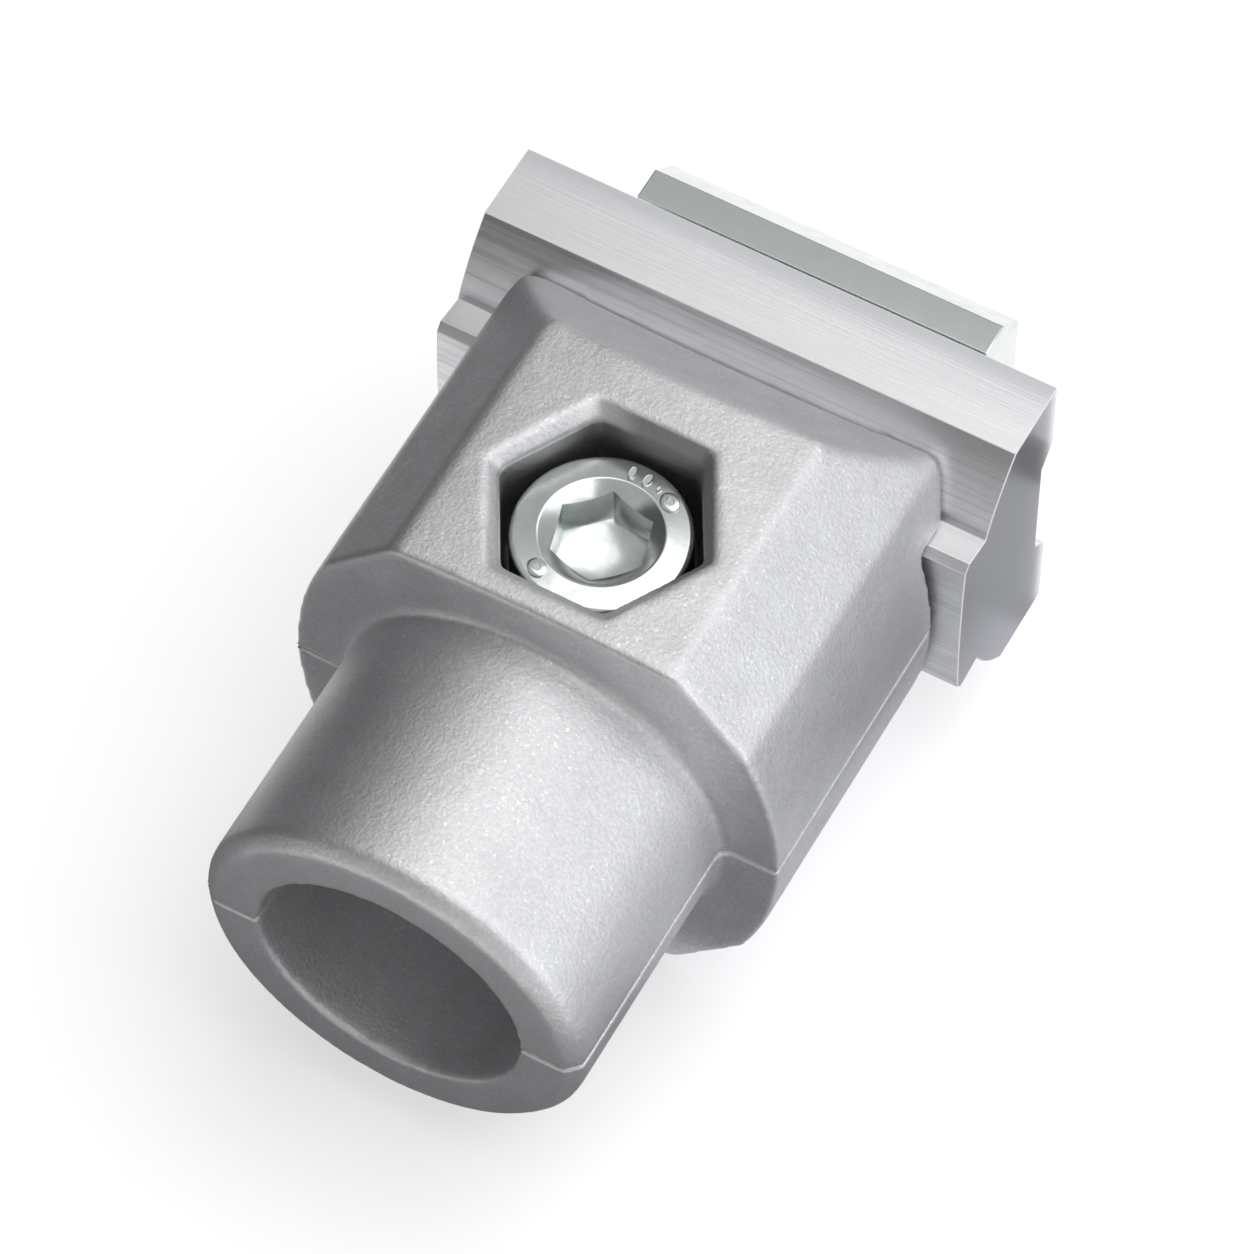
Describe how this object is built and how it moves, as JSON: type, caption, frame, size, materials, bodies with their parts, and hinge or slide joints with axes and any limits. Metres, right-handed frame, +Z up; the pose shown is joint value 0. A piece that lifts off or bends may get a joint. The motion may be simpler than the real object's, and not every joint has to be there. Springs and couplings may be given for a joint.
{
  "type": "pipe to profile connector",
  "caption": "Cast clamp in two halves with a round spigot, drawn together by a socket screw, gripping a short extruded rail that bolts flat onto a slotted profile.",
  "frame": {"origin": "on the profile's face, on the axis of the tube and the middle of the slot", "axes": "+X along the profile, +Y into the profile along the tube's axis, +Z up, out of the screw's pocket"},
  "size_m": [0.033, 0.0525, 0.03],
  "materials": {
    "cast_aluminium": "bead blasted",
    "extruded_aluminium": "brushed, with fine extrusion lines",
    "zinc_plated_steel": "bright zinc plate"
  },
  "bodies": {
    "root": {"upper_clamp_half": "cast_aluminium", "lower_clamp_half": "cast_aluminium", "clamp_screw": "zinc_plated_steel", "clamp_nut": "zinc_plated_steel", "rail_adapter": "extruded_aluminium", "rail_screw": "zinc_plated_steel", "slot_nut": "zinc_plated_steel"}
  },
  "joints": []
}
